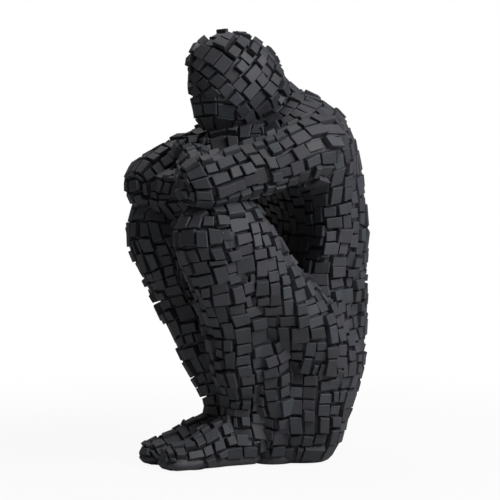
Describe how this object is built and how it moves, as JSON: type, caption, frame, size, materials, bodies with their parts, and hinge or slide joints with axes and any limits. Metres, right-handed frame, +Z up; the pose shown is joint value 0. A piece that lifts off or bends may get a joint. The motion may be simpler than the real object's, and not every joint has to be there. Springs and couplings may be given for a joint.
{
  "type": "seated figurine",
  "caption": "Seated figurine with knees drawn up, arms folded on the knees and head bowed, faced all over with small raised blocks; stands on its seat and feet.",
  "frame": {"origin": "under the middle of the figure's box, on the surface that it stands on", "axes": "+Z up, the figure faces -Y, its left side is +X"},
  "size_m": [0.1326, 0.1522, 0.2767],
  "materials": {
    "black_ceramic": "matte",
    "felt": "felted"
  },
  "bodies": {
    "root": {"torso": "black_ceramic", "head": "black_ceramic", "left_leg": "black_ceramic", "right_leg": "black_ceramic", "left_foot": "black_ceramic", "right_foot": "black_ceramic", "left_arm": "black_ceramic", "right_arm": "black_ceramic", "left_hand": "black_ceramic", "right_hand": "black_ceramic", "left_seat_pad": "felt", "right_seat_pad": "felt", "left_foot_pad": "felt", "right_foot_pad": "felt"}
  },
  "joints": []
}
